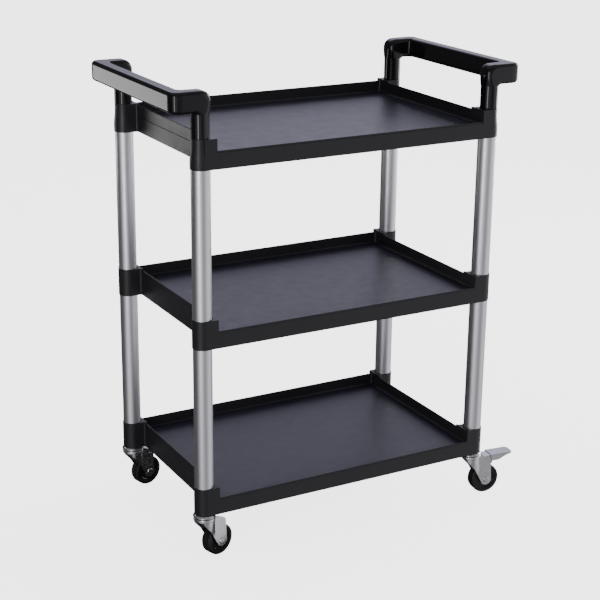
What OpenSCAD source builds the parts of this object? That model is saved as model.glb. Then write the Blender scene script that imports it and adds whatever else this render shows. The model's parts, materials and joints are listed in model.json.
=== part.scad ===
// Three-shelf food service trolley: moulded trays on aluminium posts, two end
// handles, four swivel casters and toe brakes on two opposite casters.
// X runs along the trolley between the handles, -Y is the low-lipped front,
// Z is up from the floor. All sizes are millimetres.

/* [Frame] */
// Distance between post centres along the trolley
post_span_x = 649; // [560:1:720]
// Distance between post centres across the trolley
post_span_y = 371; // [320:1:420]
// Height of the bottom tray's underside above the floor
bottom_z = 101.4; // [100:0.1:106]
// Height from one tray to the next
tray_pitch = 353.6; // [280:0.1:400]

/* [Posts] */
// Outside diameter of the posts
post_d = 38; // [36:0.5:40]
// Wall thickness of the posts
post_wall = 1.2; // [0.8:0.1:2]

/* [Trays] */
// Height of the corner collars
collar_h = 58.5; // [54:0.5:66]
// Wall of a corner collar around a post
collar_wall = 1.5; // [1.4:0.1:2]
// Height of the back and end walls
wall_h = 55; // [50:0.5:58]
// Height of the low front lip
lip_h = 35; // [33:0.5:45]
// Height of the tray's floor
floor_h = 29.5; // [28:0.5:32]
// Thickness of walls and floor
skin = 3.5; // [2.5:0.1:4.5]
// Distance from the post centres in to the end walls' outer faces
end_inset = 22; // [21:0.5:26]
// Distance from the post centres out to the back wall's outer face
back_offset = 11.5; // [8:0.5:18]

/* [Handles] */
// Height of the handles' top above the floor
handle_top = 957; // [945:1:980]
// Reach of a handle outward from the post centres
handle_reach = 63.5; // [58:0.5:75]
// Thickness of the grip bar, seen from above
bar_w = 30; // [26:1:34]
// Height of the grip bar
bar_h = 41; // [36:1:44]
// Diameter of the handle's legs
leg_d = 36; // [34:0.5:37]

/* [Casters] */
// Radius of the wheels over the tread
wheel_r = 33; // [32:0.5:33.5]
// Width of the tread
tread_w = 22.4; // [20:0.2:23]
// Trail from swivel axis to axle
trail = 33.5; // [32:0.5:35]
// Directions the four casters trail in, degrees: front left, front right, back left, back right
trail_angle = [16.8, -7.3, 13.9, 6];

/* [Hidden] */
$fn = 64;

// Corner numbers, used for the posts and the casters
FL = 0;
FR = 1;
BL = 2;
BR = 3;

black = "#26262a";
gloss_black = "#1b1b1f";
aluminium = "#b9babd";
zinc = "#c4c6c8";
rubber = "#303034";

// Brake pedal: how far it reaches from the swivel axis
pedal_tip = 98;

// The origin is below the middle of the whole trolley. The front right pedal
// stands out further than the handles, so the posts' middle is a little off it.
mid_x = (handle_reach - pedal_tip) / 2;
side_x = [-1, 1, -1, 1];
side_y = [-1, -1, 1, 1];
half_x = post_span_x / 2;
half_y = post_span_y / 2;

post_r = post_d / 2;
fit = 0.05;
collar_r = post_r + collar_wall;
front_out = half_y + collar_r;
back_out = half_y + back_offset;
end_out = half_x - end_inset;
middle_z = bottom_z + tray_pitch;
top_z = bottom_z + 2 * tray_pitch;

// Sockets in the collars
socket_depth = 26;
top_socket_depth = 16;
socket_web = 6.5;
spigot_r = 13.9;
spigot_len = 38;
leg_r = leg_d / 2;

// Casters, measured from the floor on the swivel axis, trailing along +X
stem_r = 5.5;
stem_len = 28;
sleeve_r = 8;
sleeve_len = 30;
race_r = 23.2;
race_z = 95.2;
crown_r = 22.6;
crown_top = 94.2;
crown_low = 87.2;
sheet = 2.2;
kingpin_r = 6;
ball_r = 2;
ball_ring_r = 15;
ball_count = 16;
cheek_in = 14.1;
cheek_out = cheek_in + sheet;
axle_r = 4;
bush_r = 5;
hub_r = 9;
hub_half = 13.7;
core_r = 24;
fork_end_r = 12.5;

// Toe brake
pivot = [36, 77.5];
rivet_r = 2.5;
pedal_z = 90.5;
pedal_sheet = 2;
ear_out = 13.7;

// Moves its children to a corner of the post rectangle
module at_corner(c)
    translate([mid_x + side_x[c] * half_x, side_y[c] * half_y, 0]) children();

// Moves its children to a caster and turns them the way it trails
module at_caster(c)
    at_corner(c) rotate([0, 0, trail_angle[c]]) children();

// A block between two opposite corners
module block(low, high) translate(low) cube(high - low);

// A round bar along Y, centred on y = 0
module cross_bar(r, half_len)
    rotate([90, 0, 0]) cylinder(r = r, h = 2 * half_len, center = true);

// ---------------------------------------------------------------- trays

// Walls, floor and hollow underside, before the collars
module tray_shell() {
    difference() {
        block([-end_out, -front_out, 0], [end_out, back_out, wall_h]);
        block([-end_out + skin, -front_out + skin, floor_h],
              [end_out - skin, back_out - skin, wall_h + 1]);
        block([-end_out + skin, -front_out + skin, -1],
              [end_out - skin, back_out - skin, floor_h - skin]);
        // low front lip
        block([-end_out + skin, -front_out - 1, lip_h],
              [end_out - skin, -front_out + skin + 1, wall_h + 1]);
    }
}

// Stiffening ribs under the floor
module tray_ribs() {
    rib_t = 2;
    rib_low = 21;
    rib_high = floor_h - skin / 2;
    for (i = [-2:2])
        block([i * end_out / 3 - rib_t / 2, -front_out + skin / 2, rib_low],
              [i * end_out / 3 + rib_t / 2, back_out - skin / 2, rib_high]);
    for (j = [-1:1])
        block([-end_out + skin / 2, j * 100 - rib_t / 2, rib_low],
              [end_out - skin / 2, j * 100 + rib_t / 2, rib_high]);
}

// Solid webs that tie the collars to the end walls
module corner_webs() {
    for (c = [FL:BR])
        block([side_x[c] < 0 ? -half_x : end_out - skin,
               side_y[c] * half_y - collar_r, 0],
              [side_x[c] < 0 ? -end_out + skin : half_x,
               side_y[c] * half_y + collar_r, collar_h]);
}

// Moves its children to each of a tray's four collars
module each_collar()
    for (c = [FL:BR])
        translate([side_x[c] * half_x, side_y[c] * half_y, 0]) children();

module socket_from_below(depth)
    translate([0, 0, -1]) cylinder(r = post_r + fit, h = depth + 1);

module socket_from_above(depth)
    translate([0, 0, collar_h - depth]) cylinder(r = post_r + fit, h = depth + 1);

// The top tray's collars narrow upward to meet the handles' legs
module tapered_collar()
    rotate_extrude()
        polygon([[0, 0], [collar_r, 0], [collar_r, 14], [collar_r - 0.3, 18],
                 [collar_r - 1.3, 27], [leg_r + 0.3, 37], [leg_r, 45],
                 [leg_r, collar_h], [0, collar_h]]);

module top_tray() color(black) translate([mid_x, 0, top_z]) difference() {
    union() {
        tray_shell();
        tray_ribs();
        corner_webs();
        each_collar() tapered_collar();
    }
    each_collar() socket_from_below(top_socket_depth);
    each_collar() translate([0, 0, collar_h - spigot_len - 2])
        cylinder(r = spigot_r + fit, h = spigot_len + 3);
}

module middle_tray() color(black) translate([mid_x, 0, middle_z]) difference() {
    union() {
        tray_shell();
        tray_ribs();
        corner_webs();
        each_collar() cylinder(r = collar_r, h = collar_h);
    }
    each_collar() socket_from_below(socket_depth);
    each_collar() socket_from_above(socket_depth);
}

module bottom_tray() color(black) translate([mid_x, 0, bottom_z]) difference() {
    union() {
        tray_shell();
        tray_ribs();
        corner_webs();
        each_collar() cylinder(r = collar_r, h = collar_h);
    }
    each_collar() socket_from_above(socket_depth);
    each_collar() translate([0, 0, -1]) cylinder(r = sleeve_r + fit, h = sleeve_len + 1);
}

// ---------------------------------------------------------------- posts

module post(c, low, high) color(aluminium) at_corner(c) translate([0, 0, low])
    difference() {
        cylinder(r = post_r, h = high - low);
        translate([0, 0, -1]) cylinder(r = post_r - post_wall, h = high - low + 2);
    }

module upper_post(c) post(c, middle_z + collar_h - socket_depth, top_z + top_socket_depth);

module lower_post(c) post(c, bottom_z + collar_h - socket_depth, middle_z + socket_depth);

// ---------------------------------------------------------------- handles

// A rectangle with its corners rounded to r
module rounded(low, high, r) {
    translate([low[0] + r, low[1]]) square([high[0] - low[0] - 2 * r, high[1] - low[1]]);
    translate([low[0], low[1] + r]) square([high[0] - low[0], high[1] - low[1] - 2 * r]);
    for (x = [low[0] + r, high[0] - r], y = [low[1] + r, high[1] - r])
        translate([x, y]) circle(r = r);
}

// Plan of a handle's grip, pointing along -X from the post centres
module grip_plan() difference() {
    union() {
        rounded([-handle_reach, -half_y - leg_r], [-handle_reach + bar_w, half_y + leg_r], 13);
        for (s = [-1, 1]) {
            translate([-handle_reach + bar_w / 2, s * half_y - leg_r])
                square([handle_reach - bar_w / 2, leg_d]);
            translate([0, s * half_y]) circle(r = leg_r);
        }
    }
    rounded([-handle_reach + bar_w, -half_y + leg_r], [2 * leg_r, half_y - leg_r], 6);
}

// Side view of the grip: rounded outside, and a wide bend over the legs
module grip_side() {
    low = handle_top - bar_h;
    rounded([-handle_reach, low], [0, handle_top], 6);
    translate([-20, low]) square([20 + leg_r, bar_h - leg_r]);
    translate([-20, low]) square([20, bar_h]);
    translate([0, handle_top - leg_r]) circle(r = leg_r);
}

module handle_at_left() {
    collar_top = top_z + collar_h;
    intersection() {
        translate([0, 0, handle_top - bar_h]) linear_extrude(bar_h) grip_plan();
        rotate([90, 0, 0]) linear_extrude(2 * (half_y + leg_r) + 2, center = true) grip_side();
        rotate([90, 0, 90]) linear_extrude(2 * handle_reach + 100, center = true)
            rounded([-half_y - leg_r, handle_top - bar_h], [half_y + leg_r, handle_top], 7);
    }
    for (s = [-1, 1]) translate([0, s * half_y, 0]) {
        translate([0, 0, collar_top]) cylinder(r = leg_r, h = handle_top - leg_r - collar_top);
        translate([0, 0, collar_top - spigot_len]) cylinder(r = spigot_r, h = spigot_len + 1);
    }
}

module left_handle() color(gloss_black) translate([mid_x - half_x, 0, 0]) handle_at_left();

module right_handle() color(gloss_black) translate([mid_x + half_x, 0, 0])
    mirror([1, 0, 0]) handle_at_left();

// ---------------------------------------------------------------- casters

// Steel sleeves in the bottom tray that grip the casters' stems
module stem_sockets() color(zinc) for (c = [FL:BR]) at_corner(c)
    translate([0, 0, bottom_z]) difference() {
        cylinder(r = sleeve_r, h = sleeve_len);
        translate([0, 0, -1]) cylinder(r = stem_r + fit, h = sleeve_len + 2);
    }

// Groove for the swivel balls, for cutting out of both races
module ball_groove()
    translate([0, 0, (race_z + crown_top) / 2]) rotate_extrude()
        translate([ball_ring_r, 0]) circle(r = ball_r + fit);

// Stem, upper race and kingpin, which do not turn
module stem(c) color(zinc) at_corner(c) difference() {
    union() {
        cylinder_from(bottom_z - 1, bottom_z + stem_len, stem_r);
        translate([0, 0, race_z]) rotate_extrude() race_profile(race_r, bottom_z - race_z);
        cylinder_from(crown_low - 2.5, race_z + 1, kingpin_r);
        cylinder_from(crown_low - 3.5, crown_top - sheet - fit, kingpin_r + 3.5);
    }
    ball_groove();
}

// Half section of a disc with a rounded rim
module race_profile(r, h) {
    square([r - h / 2, h]);
    translate([r - h / 2, h / 2]) circle(r = h / 2);
}

module cylinder_from(low, high, r) translate([0, 0, low]) cylinder(r = r, h = high - low);

module swivel_balls(c) color(zinc) at_caster(c)
    for (i = [0:ball_count - 1]) rotate([0, 0, i * 360 / ball_count])
        translate([ball_ring_r, 0, (race_z + crown_top) / 2]) sphere(r = ball_r);

// Outline of a cheek, seen from the side
module cheek_plan() {
    polygon([[-15, crown_top - sheet], [-15, 84], [-7, 74], [5, 61],
             [trail - 11, wheel_r - 5.5], [trail + fork_end_r - 0.5, wheel_r - 3],
             [trail + fork_end_r, wheel_r], [43.5, 76], [40, 81], [14, crown_top - sheet]]);
    translate([trail, wheel_r]) circle(r = fork_end_r);
}

// Pressed-steel fork: crown, two cheeks and the web between them
module fork(c) color(zinc) at_caster(c) difference() {
    union() {
        difference() {
            translate([0, 0, crown_low]) rotate_extrude()
                race_profile(crown_r, crown_top - crown_low);
            cylinder_from(crown_low - 1, crown_top - sheet, cheek_in);
        }
        for (s = [-1, 1]) translate([0, s * (cheek_in + sheet / 2), 0]) rotate([90, 0, 0])
            linear_extrude(sheet, center = true) cheek_plan();
        block([12, -cheek_in - 0.1, 84], [26, cheek_in + 0.1, 84 + sheet]);
    }
    cylinder_from(crown_low - 5, crown_top + 1, kingpin_r + fit);
    ball_groove();
    translate([trail, 0, wheel_r]) cross_bar(axle_r + fit, 30);
    translate([pivot[0], 0, pivot[1]]) cross_bar(rivet_r + fit, 30);
}

// Riveted axle with a domed head at each side
module axle(c) color(zinc) at_caster(c) translate([trail, 0, wheel_r]) {
    cross_bar(axle_r, cheek_out + 1);
    for (s = [-1, 1]) rotate([90 * s, 0, 0]) translate([0, 0, cheek_out])
        rotate_extrude() {
            square([4.8, 2]);
            translate([4.8, 0]) intersection() {
                circle(r = 2);
                square([3, 3]);
            }
        }
}

module axle_sleeve(c) color(zinc) at_caster(c) translate([trail, 0, wheel_r]) difference() {
    cross_bar(bush_r, cheek_in);
    cross_bar(axle_r + fit, cheek_in + 1);
}

// Half section of the wheel core: rim, web and hub
module core_section() {
    translate([bush_r + fit, -hub_half]) square([hub_r - bush_r - fit, 2 * hub_half]);
    translate([hub_r - 1, -4]) square([core_r - hub_r, 8]);
    translate([core_r - 4, -9.5]) square([4, 19]);
}

module wheel_core(c) color(black) at_caster(c) translate([trail, 0, wheel_r])
    rotate([90, 0, 0]) rotate_extrude() core_section();

// Half section of the tyre, with rounded shoulders
module tyre(c) color(rubber) at_caster(c) translate([trail, 0, wheel_r])
    rotate([90, 0, 0]) rotate_extrude() difference() {
        rounded([core_r - 4, -tread_w / 2], [wheel_r, tread_w / 2], 3);
        translate([0, -tread_w]) square([core_r, 2 * tread_w]);
    }

// ---------------------------------------------------------------- toe brakes

// Plan of the pedal's top plate
module pedal_plan() {
    rounded([44, -cheek_out], [pedal_tip, cheek_out], 7);
    translate([27, -ear_out]) square([24, 2 * ear_out]);
    translate([44, -cheek_out]) square([20, 2 * cheek_out]);
}

// Side view of an ear at the pivot
module ear_plan() {
    translate(pivot) circle(r = 6.5);
    polygon([[pivot[0] - 6, pivot[1] + 2], [pivot[0] + 4.5, pivot[1] - 4.7],
             [47.5, 79], [47.5, pedal_z - 1], [29, pedal_z - 1]]);
}

// Side view of the flange that stiffens the tread plate
module flange_plan()
    polygon([[47, 76.5], [64, 76.5], [76, 83], [90, pedal_z - 2],
             [90, pedal_z - 1], [47, pedal_z - 1]]);

// Toe pedal with ears on the rivet, side flanges and a shoe over the tread
module brake_pedal(c) color(zinc) at_caster(c) {
    shoe = [50, 68];
    difference() {
        union() {
            translate([0, 0, pedal_z - pedal_sheet]) linear_extrude(pedal_sheet) pedal_plan();
            for (s = [-1, 1]) {
                translate([0, s * (ear_out - pedal_sheet / 2), 0]) rotate([90, 0, 0])
                    linear_extrude(pedal_sheet, center = true) ear_plan();
                translate([0, s * (cheek_out - pedal_sheet / 2), 0]) rotate([90, 0, 0])
                    linear_extrude(pedal_sheet, center = true) flange_plan();
            }
            block([shoe[0] - 1.5, -9, shoe[1]], [shoe[0] + 1.5, 9, pedal_z - 1]);
            translate([shoe[0], 0, shoe[1]]) cross_bar(1.5, 9);
        }
        translate([pivot[0], 0, pivot[1]]) cross_bar(rivet_r + fit, 30);
    }
}

// Hollow rivet that the pedal swings on
module brake_rivet(c) color(zinc) at_caster(c) translate([pivot[0], 0, pivot[1]])
    difference() {
        union() {
            cross_bar(rivet_r, cheek_out + 0.8);
            for (s = [-1, 1]) translate([0, s * (cheek_out + 0.4), 0])
                cross_bar(rivet_r + 1.1, 0.4);
        }
        cross_bar(1.3, 30);
    }

top_tray();
middle_tray();
bottom_tray();
upper_post(FL);  // upper_post_front_left
upper_post(FR);  // upper_post_front_right
upper_post(BL);  // upper_post_back_left
upper_post(BR);  // upper_post_back_right
lower_post(FL);  // lower_post_front_left
lower_post(FR);  // lower_post_front_right
lower_post(BL);  // lower_post_back_left
lower_post(BR);  // lower_post_back_right
left_handle();
right_handle();
stem_sockets();
stem(FL);  // stem_front_left
stem(FR);  // stem_front_right
stem(BL);  // stem_back_left
stem(BR);  // stem_back_right
swivel_balls(FL);  // swivel_balls_front_left
swivel_balls(FR);  // swivel_balls_front_right
swivel_balls(BL);  // swivel_balls_back_left
swivel_balls(BR);  // swivel_balls_back_right
fork(FL);  // fork_front_left
fork(FR);  // fork_front_right
fork(BL);  // fork_back_left
fork(BR);  // fork_back_right
axle(FL);  // axle_front_left
axle(FR);  // axle_front_right
axle(BL);  // axle_back_left
axle(BR);  // axle_back_right
axle_sleeve(FL);  // axle_sleeve_front_left
axle_sleeve(FR);  // axle_sleeve_front_right
axle_sleeve(BL);  // axle_sleeve_back_left
axle_sleeve(BR);  // axle_sleeve_back_right
wheel_core(FL);  // wheel_core_front_left
wheel_core(FR);  // wheel_core_front_right
wheel_core(BL);  // wheel_core_back_left
wheel_core(BR);  // wheel_core_back_right
tyre(FL);  // tyre_front_left
tyre(FR);  // tyre_front_right
tyre(BL);  // tyre_back_left
tyre(BR);  // tyre_back_right
brake_pedal(FR);  // brake_pedal_front_right
brake_pedal(BL);  // brake_pedal_back_left
brake_rivet(FR);  // brake_rivet_front_right
brake_rivet(BL);  // brake_rivet_back_left
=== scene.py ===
import bmesh
import bpy
import json
import math
import numpy as np
from mathutils import Matrix, Vector

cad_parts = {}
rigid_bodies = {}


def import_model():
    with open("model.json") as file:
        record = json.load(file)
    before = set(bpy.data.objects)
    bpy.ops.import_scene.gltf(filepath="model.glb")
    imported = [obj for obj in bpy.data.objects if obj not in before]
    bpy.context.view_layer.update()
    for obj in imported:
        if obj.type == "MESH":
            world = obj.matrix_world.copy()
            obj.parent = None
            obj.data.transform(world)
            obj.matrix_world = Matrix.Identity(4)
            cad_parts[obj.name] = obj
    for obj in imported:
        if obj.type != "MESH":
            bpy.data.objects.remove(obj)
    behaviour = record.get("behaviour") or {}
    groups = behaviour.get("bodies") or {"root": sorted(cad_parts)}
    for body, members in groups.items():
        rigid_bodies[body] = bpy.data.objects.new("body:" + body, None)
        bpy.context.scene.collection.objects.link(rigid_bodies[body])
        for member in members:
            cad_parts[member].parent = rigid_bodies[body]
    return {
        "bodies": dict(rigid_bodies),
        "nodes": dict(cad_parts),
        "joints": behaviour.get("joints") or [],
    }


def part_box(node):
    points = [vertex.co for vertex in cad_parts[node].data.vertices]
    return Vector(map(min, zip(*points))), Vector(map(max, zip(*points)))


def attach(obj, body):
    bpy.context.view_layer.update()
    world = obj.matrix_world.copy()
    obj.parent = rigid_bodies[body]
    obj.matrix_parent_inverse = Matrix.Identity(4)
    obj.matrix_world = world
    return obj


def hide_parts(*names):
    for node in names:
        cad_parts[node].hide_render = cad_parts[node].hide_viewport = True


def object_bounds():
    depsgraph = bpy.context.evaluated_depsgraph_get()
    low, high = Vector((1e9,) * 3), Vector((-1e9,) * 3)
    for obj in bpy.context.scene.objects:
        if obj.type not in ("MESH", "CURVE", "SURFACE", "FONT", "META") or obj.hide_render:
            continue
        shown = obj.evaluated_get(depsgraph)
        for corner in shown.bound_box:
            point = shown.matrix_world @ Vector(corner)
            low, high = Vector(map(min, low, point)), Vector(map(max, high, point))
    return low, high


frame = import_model()
cad_low, cad_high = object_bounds()

CORNERS = ("front_left", "front_right", "back_left", "back_right")
BRAKED = [c for c in CORNERS if f"brake_{c}" in frame["bodies"]]
MM = 0.001
MERGE = 1e-6
SHARPEST = 0.5  # keeps an inset from running away at a sharp corner

# ------------------------------------------------------------------ sizes from the frame


def middle(node):
    low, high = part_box(node)
    return (low + high) / 2


def size(node):
    low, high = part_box(node)
    return high - low


POST = {c: middle(f"upper_post_{c}") for c in CORNERS}
POST_R = size("upper_post_front_left").x / 2
MID_X = middle("middle_tray").x
HALF_X = (POST["front_right"].x - POST["front_left"].x) / 2
HALF_Y = (POST["back_right"].y - POST["front_right"].y) / 2
COLLAR_R = size("middle_tray").x / 2 - HALF_X
COLLAR_H = size("middle_tray").z
TRAY_Z = {t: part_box(f"{t}_tray")[0].z for t in ("top", "middle", "bottom")}
HANDLE_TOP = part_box("left_handle")[1].z
HANDLE_REACH = POST["front_left"].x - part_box("left_handle")[0].x
JOINTS = {j["name"]: j for j in frame["joints"]}

# tray section
WALL_H = 55 * MM
LIP_H = 35 * MM
FLOOR_H = 29.5 * MM
SKIN = 3.5 * MM
END_OUT = HALF_X - 22 * MM
FRONT_OUT = HALF_Y + COLLAR_R
BACK_OUT = HALF_Y + 11.5 * MM
STEP_X = END_OUT - SKIN  # where the front's low lip steps up to the end walls

# ------------------------------------------------------------------ mesh helpers


def make_piece(name, verts, faces, material, body, replaces=(), sharp=35):
    mesh = bpy.data.meshes.new(name)
    mesh.from_pydata([tuple(v) for v in verts], [], faces)
    mesh.validate()
    piece = bpy.data.objects.new(name, mesh)
    bpy.context.scene.collection.objects.link(piece)
    return dress(piece, material, body, replaces, sharp)


def dress(piece, material, body, replaces=(), sharp=35):
    """Gives a finished mesh its normals and material, its body and the CAD nodes it replaces."""
    mesh = piece.data
    merge_and_orient(mesh)
    mesh.shade_smooth()
    mesh.set_sharp_from_angle(angle=math.radians(sharp))
    flatten = piece.modifiers.new("flatten", "WEIGHTED_NORMAL")
    flatten.keep_sharp = True
    mesh = settle(piece)
    mesh.materials.clear()
    mesh.materials.append(material)
    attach(piece, body)
    if replaces:
        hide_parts(*replaces)
    return piece


def settle(piece):
    """Applies a piece's modifiers to its mesh."""
    graph = bpy.context.evaluated_depsgraph_get()
    mesh = bpy.data.meshes.new_from_object(piece.evaluated_get(graph))
    piece.modifiers.clear()
    piece.data = mesh
    return mesh


def merge_and_orient(mesh):
    """Joins points that coincide, such as poles, and turns all faces outward."""
    work = bmesh.new()
    work.from_mesh(mesh)
    bmesh.ops.remove_doubles(work, verts=work.verts, dist=MERGE)
    bmesh.ops.recalc_face_normals(work, faces=work.faces)
    work.to_mesh(mesh)
    work.free()


class Shape:
    """Collects closed shells, so that one piece can hold several."""

    def __init__(self):
        self.verts = []
        self.faces = []

    def add(self, verts, faces, matrix=None):
        start = len(self.verts)
        for v in verts:
            point = Vector(v)
            self.verts.append(matrix @ point if matrix else point)
        self.faces.extend([[start + i for i in face] for face in faces])
        return self


def loft(loops, caps=True, closed=False):
    """Quads between loops of equal length, with flat caps on the first and last."""
    count = len(loops[0])
    verts = [p for loop in loops for p in loop]
    faces = []
    rows = len(loops)
    for i in range(rows if closed else rows - 1):
        a, b = i * count, ((i + 1) % rows) * count
        for j in range(count):
            k = (j + 1) % count
            faces.append([a + j, a + k, b + k, b + j])
    if caps and not closed:
        faces.append(list(range(count))[::-1])
        faces.append([(rows - 1) * count + j for j in range(count)])
    return verts, faces


def revolve(profile, steps=96, axis="Z"):
    """Turns a closed (radius, height) outline about an axis. A radius of 0 becomes a pole."""
    loops = []
    for i in range(steps):
        a = 2 * math.pi * i / steps
        loop = []
        for r, h in profile:
            p = (r * math.cos(a), r * math.sin(a), h)
            loop.append(p if axis == "Z" else (p[0], -p[2], p[1]))
        loops.append(loop)
    return loft(loops, caps=False, closed=True)


def smooth(t):
    """Eases from 0 to 1."""
    t = min(max(t, 0), 1)
    return t * t * (3 - 2 * t)


def arc(cx, cy, r, start, end, steps=6):
    """Points on an arc, angles in degrees."""
    angles = [math.radians(start + (end - start) * i / steps) for i in range(steps + 1)]
    return [(cx + r * math.cos(a), cy + r * math.sin(a)) for a in angles]


def prism(outline, low, high, bevel=0.0):
    """An outline (anticlockwise) extruded along Z, with rounded edges top and bottom."""
    steps = 3
    levels = [(0, low), (0, high)]
    if bevel:
        angles = [math.pi / 2 * i / steps for i in range(steps + 1)]
        levels = [(bevel * (1 - math.sin(a)), low + bevel * (1 - math.cos(a))) for a in angles]
        levels += [(inset, low + high - z) for inset, z in reversed(levels)]
    return loft([[(x, y, z) for x, y in inset_outline(outline, inset)] for inset, z in levels])


def inset_outline(outline, d):
    """Moves each point of an anticlockwise outline inward by d along its corner's bisector."""
    if d == 0:
        return outline
    count = len(outline)
    result = []
    for i, p in enumerate(outline):
        before = Vector(p) - Vector(outline[i - 1])
        after = Vector(outline[(i + 1) % count]) - Vector(p)
        n1 = Vector((-before.y, before.x)).normalized()
        n2 = Vector((-after.y, after.x)).normalized()
        n = n1 + n2
        n = n / max(n.length_squared / 2, SHARPEST)
        result.append((p[0] + n.x * d, p[1] + n.y * d))
    return result


def rounded_rect(x0, x1, y0, y1, r, steps=6):
    """Anticlockwise outline of a rectangle with round corners."""
    points = arc(x1 - r, y0 + r, r, -90, 0, steps)
    points += arc(x1 - r, y1 - r, r, 0, 90, steps)
    points += arc(x0 + r, y1 - r, r, 90, 180, steps)
    points += arc(x0 + r, y0 + r, r, 180, 270, steps)
    return points


# ------------------------------------------------------------------ materials


class Nodes:
    """A principled material and short ways to add nodes to it."""

    def __init__(self, name):
        self.material = bpy.data.materials.new(name)
        self.material.use_nodes = True
        self.tree = self.material.node_tree
        self.shader = self.tree.nodes["Principled BSDF"]
        self.coords = self.add("ShaderNodeTexCoord").outputs["Object"]

    def add(self, kind, **values):
        made = self.tree.nodes.new(kind)
        for key, value in values.items():
            if key in made.inputs:
                made.inputs[key].default_value = value
            else:
                setattr(made, key, value)
        return made

    def link(self, a, b):
        self.tree.links.new(a, b)

    def noise(self, scale, detail=3.0, stretch=None):
        made = self.add("ShaderNodeTexNoise", Scale=scale, Detail=detail)
        source = self.coords
        if stretch:
            mapping = self.add("ShaderNodeMapping")
            mapping.inputs["Scale"].default_value = stretch
            self.link(self.coords, mapping.inputs["Vector"])
            source = mapping.outputs["Vector"]
        self.link(source, made.inputs["Vector"])
        return made.outputs["Fac"]

    def ramp(self, value, low, high, out_low, out_high):
        made = self.add("ShaderNodeMapRange")
        for key, v in (("From Min", low), ("From Max", high),
                       ("To Min", out_low), ("To Max", out_high)):
            made.inputs[key].default_value = v
        self.link(value, made.inputs["Value"])
        return made.outputs["Result"]

    def mix(self, factor, a, b):
        made = self.add("ShaderNodeMix", data_type="RGBA")
        made.inputs["A"].default_value = (*a, 1)
        made.inputs["B"].default_value = (*b, 1)
        self.link(factor, made.inputs["Factor"])
        return made.outputs["Result"]

    def painted_sheen_mask(self, facing_up):
        """1 on the trays' flat floors, where the paler colour is a painted sheen, 0 on their rims
        and collar tops.
        """
        place = self.add("ShaderNodeSeparateXYZ")
        self.link(self.coords, place.inputs["Vector"])
        fade = 4 * MM
        edges = []
        for axis, centre, half in (("X", MID_X, END_OUT - 2 * SKIN),
                                   ("Y", (BACK_OUT - FRONT_OUT) / 2,
                                    (BACK_OUT + FRONT_OUT) / 2 - 2 * SKIN)):
            shift = self.add("ShaderNodeMath", operation="SUBTRACT")
            self.link(place.outputs[axis], shift.inputs[0])
            shift.inputs[1].default_value = centre
            away = self.add("ShaderNodeMath", operation="ABSOLUTE")
            self.link(shift.outputs["Value"], away.inputs[0])
            edges.append(self.ramp(away.outputs["Value"], half, half + fade, 1, 0))
        both = self.add("ShaderNodeMath", operation="MULTIPLY")
        self.link(edges[0], both.inputs[0])
        self.link(edges[1], both.inputs[1])
        mask = self.add("ShaderNodeMath", operation="MULTIPLY")
        self.link(both.outputs["Value"], mask.inputs[0])
        self.link(facing_up, mask.inputs[1])
        return mask.outputs["Value"]

    def bump(self, height, distance, strength=1.0):
        made = self.add("ShaderNodeBump", Strength=strength, Distance=distance)
        self.link(height, made.inputs["Height"])
        return made.outputs["Normal"]

    def set(self, name, value):
        if hasattr(value, "links"):
            self.link(value, self.shader.inputs[name])
        else:
            self.shader.inputs[name].default_value = value


def moulded_plastic(name, dark, light, rough_low, rough_high, grain, gloss):
    """Black injection-moulded plastic with a fine moulded grain and faint colour variation."""
    m = Nodes(name)
    m.set("Base Color", m.mix(m.noise(9, 4), dark, light))
    m.set("Roughness", m.ramp(m.noise(60, 4), 0.3, 0.7, rough_low, rough_high))
    m.set("Normal", m.bump(m.noise(1400, 2), grain))
    m.set("Specular IOR Level", gloss)
    return m.material


def tray_material():
    """Tray plastic: grained on the floors, and paler and bluer there as a painted sheen of the
    light from above; plain and dark on the walls and rims.
    """
    m = Nodes("tray_plastic")
    geometry = m.add("ShaderNodeNewGeometry")
    split = m.add("ShaderNodeSeparateXYZ")
    m.link(geometry.outputs["Normal"], split.inputs["Vector"])
    facing_up = m.ramp(split.outputs["Z"], 0.85, 0.98, 0, 1)
    clouds = m.noise(7, 5)
    walls = m.mix(clouds, (0.012, 0.012, 0.014), (0.016, 0.016, 0.0185))
    # painted sheen: the floors' paler, bluer colour stands in for the light from above that
    # catches their grain
    floor = m.mix(clouds, (0.020, 0.018, 0.034), (0.027, 0.025, 0.043))
    colour = m.add("ShaderNodeMix", data_type="RGBA")
    m.link(m.painted_sheen_mask(facing_up), colour.inputs["Factor"])
    m.link(walls, colour.inputs["A"])
    m.link(floor, colour.inputs["B"])
    m.set("Base Color", colour.outputs["Result"])
    rough = m.add("ShaderNodeMath", operation="ADD")
    m.link(m.ramp(facing_up, 0, 1, 0.38, 0.34), rough.inputs[0])
    m.link(m.ramp(m.noise(45, 5), 0.3, 0.7, -0.03, 0.03), rough.inputs[1])
    m.set("Roughness", rough.outputs["Value"])
    m.set("Specular IOR Level", 0.32)
    cells = m.add("ShaderNodeTexVoronoi", Scale=620.0)
    m.link(m.coords, cells.inputs["Vector"])
    grain = m.add("ShaderNodeMath", operation="MULTIPLY")
    m.link(cells.outputs["Distance"], grain.inputs[0])
    m.link(facing_up, grain.inputs[1])
    m.set("Normal", m.bump(grain.outputs["Value"], 0.00018, 0.55))
    return m.material


def aluminium_material():
    """Satin anodised tube with faint drawing lines along it."""
    m = Nodes("anodised_aluminium")
    lines = m.noise(900, 2, stretch=(1, 1, 0.01))
    m.set("Base Color", m.mix(m.noise(30, 3, stretch=(1, 1, 0.1)),
                              (0.57, 0.57, 0.60), (0.64, 0.64, 0.67)))
    m.set("Metallic", 1.0)
    m.set("Roughness", m.ramp(lines, 0.3, 0.7, 0.34, 0.42))
    m.set("Normal", m.bump(lines, 0.00002, 0.4))
    return m.material


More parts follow.
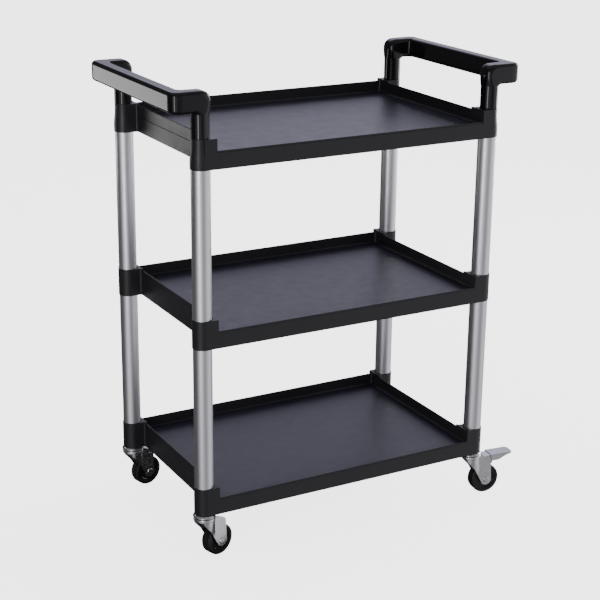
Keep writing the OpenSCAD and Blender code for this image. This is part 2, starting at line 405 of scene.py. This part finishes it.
def zinc_material():
    """Bright zinc plating, slightly cloudy."""
    m = Nodes("zinc_plate")
    m.set("Base Color", m.mix(m.noise(120, 4), (0.46, 0.46, 0.47), (0.62, 0.62, 0.63)))
    m.set("Metallic", 1.0)
    m.set("Roughness", m.ramp(m.noise(250, 4), 0.3, 0.7, 0.20, 0.32))
    m.set("Normal", m.bump(m.noise(700, 3), 0.00002, 0.5))
    return m.material


def floor_material():
    """Pale and softly lit from within, so that it looks the same all over."""
    m = Nodes("studio_floor")
    m.set("Base Color", m.mix(m.noise(2, 3), (0.90, 0.90, 0.90), (0.92, 0.92, 0.92)))
    m.set("Roughness", 0.9)
    m.set("Specular IOR Level", 0.1)
    m.set("Emission Color", (1, 1, 1, 1))
    m.set("Emission Strength", 3.2)
    return m.material


def shade_material():
    """Dull and nearly black."""
    m = Nodes("floor_shade")
    m.set("Base Color", m.mix(m.noise(2, 3), (0.030, 0.030, 0.032), (0.036, 0.036, 0.038)))
    m.set("Roughness", 1.0)
    m.set("Specular IOR Level", 0.0)
    return m.material


TRAY = tray_material()
GLOSS = moulded_plastic("handle_gloss", (0.003, 0.003, 0.004), (0.005, 0.005, 0.006),
                        0.10, 0.14, 0.000003, 0.34)
ALUMINIUM = aluminium_material()
ZINC = zinc_material()
RUBBER = moulded_plastic("tyre_rubber", (0.006, 0.006, 0.0065), (0.010, 0.010, 0.011),
                         0.36, 0.48, 0.00002, 0.3)
CORE = moulded_plastic("wheel_core_plastic", (0.006, 0.006, 0.007), (0.009, 0.009, 0.010),
                       0.22, 0.32, 0.00001, 0.35)

# ------------------------------------------------------------------ trays


def front_height(x, y):
    """Height of the wall's top at a point of the plan: the front is low between the end walls."""
    front_depth, ramp = 12 * MM, 0.8 * MM
    if y > -FRONT_OUT + front_depth:
        return WALL_H
    return WALL_H + (LIP_H - WALL_H) * smooth((STEP_X - abs(x)) / ramp)


def plan_loop(inset):
    """The tray's outline moved inward, with extra points at the front steps.
    Every inset gives the same number of points, so that the loops can be lofted."""
    corner_r, step_cuts = 2.5 * MM, 7
    r = corner_r + inset * 0.8
    x1, y0, y1 = END_OUT - inset, -FRONT_OUT + inset, BACK_OUT - inset
    points = arc(x1 - r, y0 + r, r, -90, 0, 6)
    points += [(x1, y0 + (y1 - y0) * k / 4) for k in (1, 2, 3)]
    points += arc(x1 - r, y1 - r, r, 0, 90, 6)
    points += [(x1 * (1 - k / 3), y1) for k in (1, 2, 3, 4, 5)]
    points += arc(-x1 + r, y1 - r, r, 90, 180, 6)
    points += [(-x1, y1 + (y0 - y1) * k / 4) for k in (1, 2, 3)]
    points += arc(-x1 + r, y0 + r, r, 180, 270, 6)
    cuts = [STEP_X + 0.3 * MM, STEP_X] + [STEP_X - k * 0.2 * MM for k in (1, 2, 3, 4)]
    cuts = [c for c in cuts + [STEP_X - 2 * MM] if c < x1 - r - 0.01 * MM]
    missing = step_cuts - len(cuts)
    cuts = [x1 - r - 0.002 * MM * (k + 1) for k in range(missing)] + cuts
    points += [(-c, y0) for c in cuts] + [(0, y0)] + [(c, y0) for c in reversed(cuts)]
    return points


def tray_shell(upper_inset):
    """Skirt, walls with rolled rims, filleted floor and hollow underside as one closed shell.
    The walls stand back by upper_inset above a ledge round the outside."""
    rim, ledge_z, fillet, steps = 1.3 * MM, 33 * MM, 4.5 * MM, 6
    ceiling = FLOOR_H - SKIN
    # inset and height, from the underside's ceiling down inside the skirt and up its outside
    levels = [(SKIN + 1.5 * MM, ceiling), (SKIN + 0.5 * MM, ceiling - 0.4 * MM),
              (SKIN, ceiling - 1.5 * MM), (SKIN, 0.4 * MM),
              (SKIN - 0.4 * MM, 0), (0.5 * MM, 0), (0.12 * MM, 0.15 * MM), (0, 0.6 * MM),
              (0, ledge_z - 2.0 * MM), (0.1 * MM, ledge_z - 1.5 * MM),
              (upper_inset, ledge_z - 1.2 * MM)]
    loops = [[(x, y, z) for x, y in plan_loop(inset)] for inset, z in levels]
    for i in range(steps + 1):
        a = math.pi * i / steps
        across = (upper_inset + SKIN) / 2 - (SKIN - upper_inset) / 2 * math.cos(a)
        loops.append([(x, y, front_height(x, y) - rim + rim * math.sin(a))
                      for x, y in plan_loop(across)])
    for i in range(steps + 1):
        a = math.pi / 2 * i / steps
        inset = SKIN + 0.4 * MM + fillet * (1 - math.cos(a))
        z = FLOOR_H + fillet * (1 - math.sin(a))
        loops.append([(x, y, min(z, front_height(x, y) - rim - 0.05 * MM))
                      for x, y in plan_loop(inset)])
    return loft(loops)


def rectangle(x0, x1, y0, y1):
    return [(x0, y0), (x1, y0), (x1, y1), (x0, y1)]


def tray_ribs(shape):
    """Shallow ribs below the floor, whose ends run into the skirt."""
    low, high = 21 * MM, FLOOR_H - SKIN / 2
    half, into = 1 * MM, SKIN / 2
    ends, front, back = END_OUT - into, -FRONT_OUT + into, BACK_OUT - into
    for i in range(-2, 3):
        x = i * END_OUT / 3
        shape.add(*prism(rectangle(x - half, x + half, front, back), low, high))
    for y in (-100 * MM, 0, 100 * MM):
        shape.add(*prism(rectangle(-ends, ends, y - half, y + half), low, high))


def collar_profile(bore_low, socket_low, socket_high, taper):
    """Half section of a collar: sockets from below and above with a web between them.
    With taper, its radius at the top, the collar narrows to the handle's leg and is closed."""
    r, bore, h, soft, chamfer = COLLAR_R, POST_BORE, COLLAR_H, 0.6 * MM, 0.4 * MM
    profile = [(0, socket_low), (bore_low, socket_low),
               (bore_low, chamfer), (bore_low + chamfer, 0)]
    profile += arc(r - soft, soft, soft, -90, 0, 4)
    if taper:
        taper_low, taper_height, steps = 14 * MM, 32 * MM, 14
        for i in range(steps + 1):
            t = i / steps
            profile.append((r + (taper - r) * smooth(t), taper_low + taper_height * t))
        profile += arc(taper - soft, h - soft, soft, 0, 90, 4)
        profile += [(0, h)]
    else:
        profile += arc(r - soft, h - soft, soft, 0, 90, 4)
        profile += [(bore + chamfer, h), (bore, h - chamfer),
                    (bore, socket_high), (0, socket_high)]
    return profile


def corner_web(arc_r, width, low, high, inner):
    """The block between a collar and the end wall, hollowed round the collar.
    inner is the sign of the side towards the recess, where a fillet meets the end wall."""
    wall = HALF_X - END_OUT
    reach = wall + SKIN - 0.05 * MM
    fillet, edge = 4 * MM, 0.7 * MM
    outline = [(0, -width), (reach, -width), (reach, width + fillet)]
    outline += arc(wall - fillet, width + fillet, fillet, 0, -90, 6)
    outline += [(0, width)]
    outline += arc(0, 0, arc_r, 89, -89, 16)
    if inner < 0:
        outline = [(x, -y) for x, y in reversed(outline)]
    return prism(outline, low, high, edge)


def make_tray(name, bore_low, socket_low, socket_high, taper, upper_inset):
    shape = Shape()
    shape.add(*tray_shell(upper_inset))
    tray_ribs(shape)
    width = COLLAR_R + 0.02 * MM
    hollow = taper - 0.1 * MM if taper else POST_R + 0.9 * MM
    collar = revolve(collar_profile(bore_low, socket_low, socket_high, taper))
    for c in CORNERS:
        x, y = POST[c].x - MID_X, POST[c].y
        place = Matrix.Translation((x, y, 0))
        shape.add(*collar, place)
        turn = place @ Matrix.Rotation(math.pi if x > 0 else 0, 4, "Z")
        inner = 1 if (x < 0) == (y < 0) else -1
        shape.add(*corner_web(hollow, width, 0, COLLAR_H, inner), turn)
    place = Matrix.Translation((MID_X, 0, TRAY_Z[name]))
    verts = [place @ v for v in shape.verts]
    make_piece(f"{name}_tray_moulding", verts, shape.faces, TRAY, "trolley",
               [f"{name}_tray"])


LEG_R = 18 * MM
POST_BORE = POST_R + 0.05 * MM
STEM_BORE = 8.05 * MM
SOCKET = 26 * MM
TOP_SOCKET = 16 * MM
STEM_SOCKET = 30 * MM
make_tray("top", POST_BORE, TOP_SOCKET, None, LEG_R, 1.4 * MM)
make_tray("middle", POST_BORE, SOCKET, COLLAR_H - SOCKET, None, 0.7 * MM)
make_tray("bottom", STEM_BORE, STEM_SOCKET, COLLAR_H - SOCKET, None, 0.7 * MM)

# ------------------------------------------------------------------ handles


def section(u0, u1, v0, v1, r):
    """A rounded rectangle whose radius always fits."""
    return rounded_rect(u0, u1, v0, v1, min(r, (u1 - u0) / 2 - MERGE, (v1 - v0) / 2 - MERGE), 8)


def corner_reach(a, width, depth, r):
    """Distance from an inner corner to a rounded outer corner, at angle a from the first side."""
    c, s = math.cos(a), math.sin(a)
    nearly_zero = 1e-9
    far = math.inf
    if c > nearly_zero:
        far = min(far, width / c)
    if s > nearly_zero:
        far = min(far, depth / s)
    x, y = far * c, far * s
    cx, cy = width - r, depth - r
    if x > cx and y > cy:
        b = -(c * cx + s * cy)
        disc = b * b - (cx * cx + cy * cy - r * r)
        far = -b + math.sqrt(max(disc, 0))
    return far


def handle_loops():
    """Stations from the front leg's foot, over the bend and round the grip's corner, then the
    same mirrored down to the back leg's foot, so that the grip bar spans the two halves.
    The legs are at x = 0, the grip points along -X, and heights are absolute."""
    bar_w, bar_h, edge = 30 * MM, 41 * MM, 8 * MM
    inner, corner_in, crown_r, corner_r = 3 * MM, 6 * MM, 20 * MM, 14 * MM
    foot = TRAY_Z["top"] + COLLAR_H
    low = HANDLE_TOP - bar_h
    leg, steps = LEG_R, 10
    loops = []

    def station(origin, u_axis, v_axis, u0, u1, v0, v1, r):
        o, u_dir, v_dir = Vector(origin), Vector(u_axis), Vector(v_axis)
        loops.append([o + u_dir * u + v_dir * v for u, v in section(u0, u1, v0, v1, r)])

    # leg: u runs outward along -Y, v runs towards +X
    for z in (foot, foot + 0.5 * MM, foot + 10 * MM, foot + 30 * MM, low - inner):
        k = 0.7 * MM if z == foot else 0
        station((0, 0, z), (0, -1, 0), (1, 0, 0), -leg + k, leg - k, -leg + k, leg - k, leg)
    # bend over the leg, turning about a line below the arm
    pivot = Vector((-leg - inner, 0, low - inner))
    for i in range(1, steps + 1):
        a = math.pi / 2 * i / steps
        v_dir = Vector((math.cos(a), 0, math.sin(a)))
        far = corner_reach(a, 2 * leg + inner, bar_h + inner, crown_r)
        r = leg + (edge - leg) * math.sqrt(i / steps)
        station(pivot, (0, -1, 0), v_dir, -leg, leg, inner, far, r)
    # corner of the grip, turning about its inner edge
    corner_x = -HANDLE_REACH + bar_w + inner + 3 * MM
    pivot = Vector((corner_x, leg + corner_in, low))
    for i in range(steps + 1):
        a = math.pi / 2 * i / steps
        u_dir = Vector((-math.sin(a), -math.cos(a), 0))
        far = corner_reach(a, 2 * leg + corner_in, corner_x + HANDLE_REACH, corner_r)
        station(pivot, u_dir, (0, 0, 1), corner_in, far, 0, bar_h, edge)
    front = [[Vector((p.x, p.y - HALF_Y, p.z)) for p in loop] for loop in loops]
    back = [[Vector((p.x, -p.y, p.z)) for p in loop] for loop in reversed(front)]
    return front + back


def make_handle(side, name):
    verts, faces = loft(handle_loops())
    leg_x = POST["front_left" if side < 0 else "front_right"].x
    placed = [Vector((leg_x - side * p.x, p.y, p.z)) for p in verts]
    make_piece(f"{name}_grip", placed, faces, GLOSS, "trolley", [name], sharp=50)


make_handle(-1, "left_handle")
make_handle(1, "right_handle")

# ------------------------------------------------------------------ posts


def make_post(name):
    """A tube with rounded ends in place of the CAD one."""
    low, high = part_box(name)
    r, wall, edge = POST_R, 1.2 * MM, 0.3 * MM
    profile = [(r - wall, low.z), (r - edge, low.z), (r, low.z + edge), (r, high.z - edge),
               (r - edge, high.z), (r - wall, high.z)]
    verts, faces = revolve(profile, 128)
    place = Matrix.Translation(((low.x + high.x) / 2, (low.y + high.y) / 2, 0))
    make_piece(f"{name}_tube", [place @ Vector(v) for v in verts], faces, ALUMINIUM,
               "trolley", [name])


for c in CORNERS:
    make_post(f"upper_post_{c}")
    make_post(f"lower_post_{c}")

# ------------------------------------------------------------------ casters


def spot(joint):
    """A joint's place at rest."""
    return Vector(JOINTS[joint]["pos_m"])


WHEEL_R = size("tyre_front_left").z / 2
TRAIL = (spot("wheel_spin_front_left") - spot("swivel_front_left")).xy.length
SHEET, PEDAL_SHEET = 2.2 * MM, 1.6 * MM
CHEEK = 16.3 * MM
RACE_R, CROWN_R = 23.2 * MM, 22.6 * MM
RACE_Z, CROWN_TOP, CROWN_LOW = 95.2 * MM, 94.2 * MM, 87.2 * MM
STEM_TOP = TRAY_Z["bottom"] + 28 * MM
BALL_RING, BALL_GAP, BALL_Z = 15 * MM, 2.05 * MM, (RACE_Z + CROWN_TOP) / 2
GROOVE_EDGE = 14.1  # degrees at which the balls' groove meets a race's flat face
PIVOT_X, PIVOT_Z = 36 * MM, 77.5 * MM
PLATE_START = 44 * MM
FORK_END = 12.5 * MM
FLARE_R = 21.5 * MM


def at_caster(c):
    """The caster's own frame: swivel axis at the origin, trailing along +X, Z from the floor."""
    swivel, spin = spot(f"swivel_{c}"), spot(f"wheel_spin_{c}")
    angle = math.atan2(spin.y - swivel.y, spin.x - swivel.x)
    return Matrix.Translation((swivel.x, swivel.y, 0)) @ Matrix.Rotation(angle, 4, "Z")


def stem_profile():
    """Half section of the king pin's head, the upper race and the stem."""
    base, gap = TRAY_Z["bottom"], 0.1 * MM
    head, pin, stem = 9.5 * MM, 6 * MM, 5.5 * MM
    head_low, head_top, bevel = 83.7 * MM, CROWN_TOP - SHEET - gap, 1 * MM
    rim, chamfer = 1.6 * MM, 0.6 * MM
    profile = [(0, head_low), (head - bevel, head_low), (head, head_low + bevel),
               (head, head_top), (pin, head_top), (pin, RACE_Z)]
    profile += arc(BALL_RING, BALL_Z, BALL_GAP, 180 - GROOVE_EDGE, GROOVE_EDGE, 8)
    profile += [(RACE_R - 1.5 * rim, RACE_Z)]
    profile += arc(RACE_R - rim, RACE_Z + rim, rim, -90, 60, 8)
    profile += [(RACE_R - rim, base - 2.2 * MM), (RACE_R - 2.6 * MM, base - 1 * MM),
                (RACE_R - 4 * MM, base - gap), (stem, base - gap),
                (stem, STEM_TOP - chamfer), (stem - chamfer, STEM_TOP), (0, STEM_TOP)]
    return profile


def crown_profile():
    """Half section of the fork's crown: a flat cup with a rolled skirt."""
    pin, bend, lip, outer_bend = 6.05 * MM, 2.2 * MM, 1.1 * MM, 2.4 * MM
    profile = [(pin, CROWN_TOP - SHEET), (CROWN_R - 5 * MM, CROWN_TOP - SHEET)]
    profile += arc(CROWN_R - SHEET - bend, CROWN_TOP - SHEET - bend, bend, 90, 0, 5)
    profile += [(CROWN_R - SHEET, CROWN_LOW + 0.6 * MM), (CROWN_R - SHEET + 0.4 * MM, CROWN_LOW)]
    profile += arc(CROWN_R - lip, CROWN_LOW + lip, lip, -90, 0, 5)
    profile += [(CROWN_R, CROWN_TOP - 3 * MM)]
    profile += arc(CROWN_R - outer_bend, CROWN_TOP - outer_bend, outer_bend, 10, 90, 6)
    profile += arc(BALL_RING, BALL_Z, BALL_GAP, -GROOVE_EDGE, GROOVE_EDGE - 180, 8)
    profile += [(pin, CROWN_TOP)]
    return profile


def along(points, place):
    """Interpolates a list of (place, value) pairs, which starts at the lowest place."""
    return float(np.interp(place, [p[0] for p in points], [p[1] for p in points]))


def cheek_sheet(side):
    """A pressed cheek: flat behind, flaring in front to meet the crown's round skirt."""
    top, low = CROWN_TOP - 1.6 * MM, WHEEL_R - FORK_END
    tangent = WHEEL_R - 5.5 * MM
    front = [(tangent, TRAIL - 11 * MM), (61 * MM, 4 * MM), (70 * MM, -4.5 * MM),
             (78 * MM, -11 * MM), (84 * MM, -15 * MM), (top, -16 * MM)]
    back = [(WHEEL_R, TRAIL + FORK_END), (78 * MM, 43.6 * MM), (82 * MM, 41.5 * MM),
            (87 * MM, 33 * MM), (top, 20 * MM)]
    crease = math.sqrt(FLARE_R ** 2 - CHEEK ** 2)
    flare_low, flare_height = 40 * MM, 46 * MM
    rows, front_columns, back_columns = 56, 12, 6
    outer, inner = [], []
    for i in range(rows + 1):
        t = i / rows
        z = low + (top - low) * (t ** 1.5)
        drop = WHEEL_R - z
        round_x = math.sqrt(max(FORK_END ** 2 - drop ** 2, 0)) + 0.3 * MM
        x0 = TRAIL - round_x if z < tangent else along(front, z)
        x1 = TRAIL + round_x if z < WHEEL_R else along(back, z)
        wide = x1 - x0
        bend = min(max(crease, x0 + 0.3 * wide), x1 - 0.2 * wide)
        k = smooth((z - flare_low) / flare_height)
        xs = [x0 + (bend - x0) * j / front_columns for j in range(front_columns)]
        xs += [bend + (x1 - bend) * j / back_columns for j in range(back_columns + 1)]
        for x in xs:
            flare = math.sqrt(max(FLARE_R ** 2 - min(x, crease) ** 2, CHEEK ** 2)) - CHEEK
            y = CHEEK + k * flare
            outer.append((x, side * y, z))
            inner.append((x, side * (y - SHEET), z))
    count = front_columns + back_columns + 1
    verts = outer + inner
    shift = len(outer)
    faces = []
    for i in range(rows):
        for j in range(count - 1):
            a, b = i * count + j, (i + 1) * count + j
            faces.append([a, a + 1, b + 1, b])
            faces.append([shift + b, shift + b + 1, shift + a + 1, shift + a])
        a, b = i * count, (i + 1) * count
        faces.append([a, b, shift + b, shift + a])
        a, b = a + count - 1, b + count - 1
        faces.append([b, a, shift + a, shift + b])
    for j in range(count - 1):
        faces.append([j + 1, j, shift + j, shift + j + 1])
        a = rows * count + j
        faces.append([a, a + 1, shift + a + 1, shift + a])
    return verts, faces


def make_fork(c):
    shape = Shape()
    shape.add(*revolve(crown_profile()))
    for side in (-1, 1):
        shape.add(*cheek_sheet(side))
    reach, web_low = CHEEK - 0.6 * MM, 84 * MM
    web = rectangle(12 * MM, 26 * MM, -reach, reach)
    shape.add(*prism(web, web_low, web_low + SHEET, 0.4 * MM))
    place = at_caster(c)
    make_piece(f"caster_fork_{c}", [place @ Vector(v) for v in shape.verts], shape.faces, ZINC,
               f"caster_{c}", [f"fork_{c}"], sharp=28)


def make_stem(c):
    verts, faces = revolve(stem_profile())
    place = at_caster(c)
    make_piece(f"caster_stem_{c}", [place @ Vector(v) for v in verts], faces, ZINC,
               "trolley", [f"stem_{c}"], sharp=40)


def core_profile():
    """Half section of the wheel's core: hub, dished disc and rim."""
    bore, hub, half = 5.05 * MM, 9 * MM, 13.7 * MM
    rim, disc, deep = 24 * MM, 7.6 * MM, 9.5 * MM
    side = [(bore, half), (hub - 1 * MM, half), (hub, half - 1 * MM), (hub, disc + 1 * MM),
            (hub + 1 * MM, disc), (rim - 4.5 * MM, disc), (rim - 3.4 * MM, deep - 0.4 * MM),
            (rim - 2.8 * MM, deep), (rim, deep)]
    return side + [(r, -h) for r, h in reversed(side)]


def tyre_profile():
    """Half section of the tyre: side walls, round shoulders and three shallow tread lines."""
    inner, half, shoulder = 24 * MM, 11.2 * MM, 3.2 * MM
    side = [(inner, 9.7 * MM), (inner + 0.5 * MM, half - 0.3 * MM), (inner + 1.1 * MM, half)]
    side += [(inner + 5 * MM, half)]
    side += arc(WHEEL_R - shoulder, half - shoulder, shoulder, 80, 25, 5)
    cut, wide, line, crown = 0.35 * MM, 0.5 * MM, 6.2 * MM, 0.15 * MM
    side += [(WHEEL_R - crown, line + wide), (WHEEL_R - cut - crown, line + wide * 0.5),
             (WHEEL_R - cut - crown, line - wide * 0.5), (WHEEL_R - 0.1 * MM, line - wide)]
    side += [(WHEEL_R, 1.2 * MM), (WHEEL_R, 0.8 * MM), (WHEEL_R - cut, 0.4 * MM)]
    return side + [(r, -h) for r, h in reversed(side)]


def make_wheel(c):
    place = at_caster(c) @ Matrix.Translation((TRAIL, 0, WHEEL_R))
    for part, profile, material, slot in (("wheel_core", core_profile(), CORE, "wheel_plastic"),
                                          ("tyre", tyre_profile(), RUBBER, "tyre_rubber")):
        verts, faces = revolve(profile, axis="Y")
        make_piece(f"caster_{part}_{c}", [place @ Vector(v) for v in verts], faces, material,
                   f"wheel_{c}", [f"{part}_{c}"], sharp=32)


def bent_sheet(stations, sheet, bend):
    """A channel of bent sheet along X.
    Each station is (x, half width, top, lower edge of the flanges)."""
    loops = []
    for x, half, top, low in stations:
        b = min(bend, max(top - low - 0.3 * MM, sheet + 0.2 * MM))
        outside = [(half, low)] + arc(half - b, top - b, b, 0, 90, 5)
        outside += [(-y, z) for y, z in reversed(outside)]
        r = max(b - sheet, 0.1 * MM)
        inside = [(half - sheet, low)] + arc(half - sheet - r, top - sheet - r, r, 0, 90, 5)
        inside += [(-y, z) for y, z in reversed(inside)]
        loops.append([(x, y, z) for y, z in outside + inside[::-1]])
    return loft(loops)


def pedal_plate(top):
    """The stations of the plate that a toe presses: flanges down its sides and a round tip."""
    start, tip, tip_r, tip_droop = PLATE_START, 98 * MM, 7.5 * MM, 0.7 * MM
    flange = [(start, 80 * MM), (47 * MM, 76.5 * MM), (63 * MM, 76.5 * MM), (76 * MM, 82.6 * MM),
              (88 * MM, 87.2 * MM), (tip, 88.3 * MM)]
    steps = 30
    stations = []
    for i in range(steps + 1):
        x = start + (tip - start) * i / steps
        over = max(x - (tip - tip_r), 0)
        half = CHEEK - (tip_r - math.sqrt(max(tip_r ** 2 - over ** 2, 0)))
        droop = tip_droop * (over / tip_r) ** 2
        stations.append((x, half, top - droop, along(flange, x) - droop))
    return stations


def pedal_arms(top):
    """The stations of the narrower channel between the fork's cheeks, round about the rivet."""
    start, end, half, eye, sheet = 28.5 * MM, 46 * MM, 13.7 * MM, 6.5 * MM, PEDAL_SHEET
    steps, straight, slope = 24, 0.7, 0.12
    stations = []
    for i in range(steps + 1):
        x = start + (end - start) * i / steps
        near = abs(x - PIVOT_X) / eye
        low = PIVOT_Z - eye * math.sqrt(max(1 - near * near, 0))
        if near > straight:
            low = max(low, PIVOT_Z - 4.6 * MM + (near - straight) * 6 * MM)
        crest = top - sheet - max(PLATE_START - x, 0) * slope
        stations.append((x, half, crest, min(low, crest - 2 * MM)))
    return stations


def make_pedal(c):
    top = 90.5 * MM
    shape = Shape()
    shape.add(*bent_sheet(pedal_plate(top), PEDAL_SHEET, 2.4 * MM))
    shape.add(*bent_sheet(pedal_arms(top), PEDAL_SHEET, 2.2 * MM))
    shoe = rectangle(48.7 * MM, 51.3 * MM, -9 * MM, 9 * MM)
    shape.add(*prism(shoe, 67 * MM, top - 1 * MM, 0.8 * MM))
    place = at_caster(c)
    make_piece(f"brake_pedal_plate_{c}", [place @ Vector(v) for v in shape.verts], shape.faces,
               ZINC, f"brake_{c}", [f"brake_pedal_{c}"], sharp=30)


for c in CORNERS:
    make_stem(c)
    make_fork(c)
    make_wheel(c)
for c in BRAKED:
    make_pedal(c)

# ------------------------------------------------------------------ CAD nodes that stay

for start in ("stem_sockets", "swivel_balls", "axle", "brake_rivet"):
    for name, node in frame["nodes"].items():
        if name.startswith(start):
            node.data.materials.clear()
            node.data.materials.append(ZINC)

# ------------------------------------------------------------------ stage, light and camera


def area_light(name, place, aim, width, height, power, colour=(1, 1, 1)):
    """A rectangular soft box, in metres and watts, that the camera doesn't see."""
    data = bpy.data.lights.new(name, "AREA")
    data.shape = "RECTANGLE"
    data.size, data.size_y = width, height
    data.energy = power
    data.color = colour
    lamp = bpy.data.objects.new(name, data)
    bpy.context.scene.collection.objects.link(lamp)
    lamp.location = place
    lamp.rotation_euler = (Vector(aim) - Vector(place)).to_track_quat("-Z", "Y").to_euler()
    lamp.visible_camera = False


def toward(azimuth, elevation):
    """A direction: azimuth in degrees from -Y towards -X, elevation in degrees above the floor."""
    a, e = math.radians(azimuth), math.radians(elevation)
    return Vector((-math.sin(a) * math.cos(e), -math.cos(a) * math.cos(e), math.sin(e)))


NEUTRAL, BLUISH = (0.96, 0.96, 1), (0.80, 0.79, 1)
WORLD_BASE = 0.10
# azimuth, elevation, half width in degrees, strength, colour
WORLD_GLOWS = [(46, -5, 45, 0.9, NEUTRAL), (-72, -5, 60, 1.0, NEUTRAL),
               (-20, -5, 62, 0.30, NEUTRAL), (-134, 18, 44, 0.80, BLUISH),
               (180, 88, 65, 0.4, NEUTRAL)]


def make_world():
    """Soft light from a few wide, smooth glows round the room, fixed to the room itself."""
    world = bpy.data.worlds.new("studio")
    world.use_nodes = True
    tree = world.node_tree

    def vector_math(operation):
        made = tree.nodes.new("ShaderNodeVectorMath")
        made.operation = operation
        return made

    coords = tree.nodes.new("ShaderNodeTexCoord").outputs["Generated"]
    base = vector_math("SCALE")
    base.inputs[0].default_value = NEUTRAL
    base.inputs["Scale"].default_value = WORLD_BASE
    total = base.outputs["Vector"]
    for azimuth, elevation, width, strength, colour in WORLD_GLOWS:
        dot = vector_math("DOT_PRODUCT")
        dot.inputs[1].default_value = toward(azimuth, elevation)
        tree.links.new(coords, dot.inputs[0])
        glow = tree.nodes.new("ShaderNodeMapRange")
        glow.interpolation_type = "SMOOTHSTEP"
        glow.inputs["From Min"].default_value = math.cos(math.radians(width))
        glow.inputs["From Max"].default_value = 1
        glow.inputs["To Min"].default_value = 0
        glow.inputs["To Max"].default_value = strength
        tree.links.new(dot.outputs["Value"], glow.inputs["Value"])
        tint = vector_math("SCALE")
        tint.inputs[0].default_value = colour
        tree.links.new(glow.outputs["Result"], tint.inputs["Scale"])
        add = vector_math("ADD")
        tree.links.new(total, add.inputs[0])
        tree.links.new(tint.outputs["Vector"], add.inputs[1])
        total = add.outputs["Vector"]
    tree.links.new(total, tree.nodes["Background"].inputs["Color"])
    bpy.context.scene.world = world


def stage_piece(name, verts, faces, material, drop):
    """A piece of the stage, a little below the wheels, that casts and bounces no light."""
    mesh = bpy.data.meshes.new(name)
    mesh.from_pydata(verts, [], faces)
    mesh.materials.append(material)
    piece = bpy.data.objects.new(name, mesh)
    piece.location.z = cad_low.z - drop
    bpy.context.scene.collection.objects.link(piece)
    piece.visible_diffuse = False
    piece.visible_shadow = False
    return piece


def make_stage():
    """A pale round floor that curves up into a wall far behind the camera and the lights, and
    the shade below the trolley, which only the bright metal reflects."""
    radius, bend, height, segments = 9, 4, 14, 96
    loops = []
    for r, z in arc(radius - bend, bend, bend, -90, 0, 16) + [(radius, height)]:
        loops.append([(r * math.cos(a), r * math.sin(a), z)
                      for a in (2 * math.pi * k / segments for k in range(segments))])
    floor = stage_piece("studio_floor", *loft(loops), floor_material(), 0.2 * MM)
    floor.visible_glossy = False
    outline = rectangle(MID_X - HALF_X, MID_X + HALF_X, -FRONT_OUT - 20 * MM, BACK_OUT + 10 * MM)
    shade = stage_piece("floor_shade", [(x, y, 0) for x, y in outline], [(0, 1, 2, 3)],
                        shade_material(), 0.1 * MM)
    shade.visible_camera = False


def make_lights():
    """Soft boxes at the front left, the right and the back, and a card for the left handle."""
    centre = Vector((0, 0, 0.5))
    area_light("front_left_box", centre + toward(48, 8) * 3.2, centre, 0.5, 2.4, 34)
    area_light("right_box", centre + toward(-95, 12) * 3.0, centre, 0.8, 2.2, 45)
    area_light("back_box", centre + toward(-152, 33) * 3.4, centre, 2.6, 1.2, 9, (0.80, 0.74, 1))
    area_light("left_card", (-0.73, 0.8, 0.71), (-0.36, 0, 0.86), 0.34, 0.32, 1.0)


def make_camera():
    """The photo's viewing angle, without lens shift."""
    sensor, focal_widths = 36, 1472.5 / 600
    data = bpy.data.cameras.new("camera")
    camera = bpy.data.objects.new("camera", data)
    bpy.context.scene.collection.objects.link(camera)
    data.sensor_width = sensor
    data.lens = focal_widths * sensor
    camera.location = (-1.450 + MID_X, -2.606, 1.455)
    yaw, pitch, roll = (math.radians(d) for d in (28.96, 18.69, 0.64))
    look = Matrix.Rotation(-yaw, 4, "Z") @ Matrix.Rotation(math.pi / 2 - pitch, 4, "X")
    look = look @ Matrix.Rotation(roll, 4, "Z")
    camera.matrix_world = Matrix.Translation(camera.location) @ look
    bpy.context.scene.camera = camera


make_world()
make_stage()
make_lights()
make_camera()
